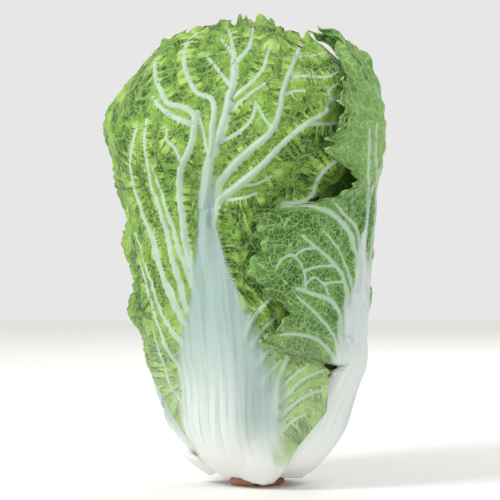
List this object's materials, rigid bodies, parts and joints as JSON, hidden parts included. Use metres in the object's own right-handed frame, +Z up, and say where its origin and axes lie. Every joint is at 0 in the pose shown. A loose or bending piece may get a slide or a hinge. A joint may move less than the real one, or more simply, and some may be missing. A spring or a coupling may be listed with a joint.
{
  "type": "napa cabbage",
  "caption": "Whole napa cabbage head standing on its cut stem: broad white leaf ribs below, crinkled green blades with ragged edges closing over the top",
  "frame": {"origin": "centre of the flat cut face of the stem, which the head stands on", "axes": "+Z up the head from the cut stem to the leaf tips, -Y towards the side the picture shows, +X to that view's right"},
  "size_m": [0.1861, 0.1811, 0.3157],
  "materials": {
    "outer_leaf": "crinkled satin",
    "dark_outer_leaf": "crinkled satin",
    "inner_leaf": "crinkled satin",
    "heart_leaf": "crinkled satin",
    "leaf_base": "satin",
    "cut_stem": "matte"
  },
  "bodies": {
    "root": {"heart": "heart_leaf", "inner_leaf_back": "inner_leaf", "inner_leaf_back_left": "inner_leaf", "inner_leaf_front": "inner_leaf", "inner_leaf_left": "inner_leaf", "inner_leaf_right": "inner_leaf", "leaf_stub": "leaf_base", "outer_leaf_back": "outer_leaf", "outer_leaf_back_right": "outer_leaf", "outer_leaf_front": "outer_leaf", "outer_leaf_left": "outer_leaf", "outer_leaf_right": "dark_outer_leaf", "stump": "cut_stem"}
  },
  "joints": []
}
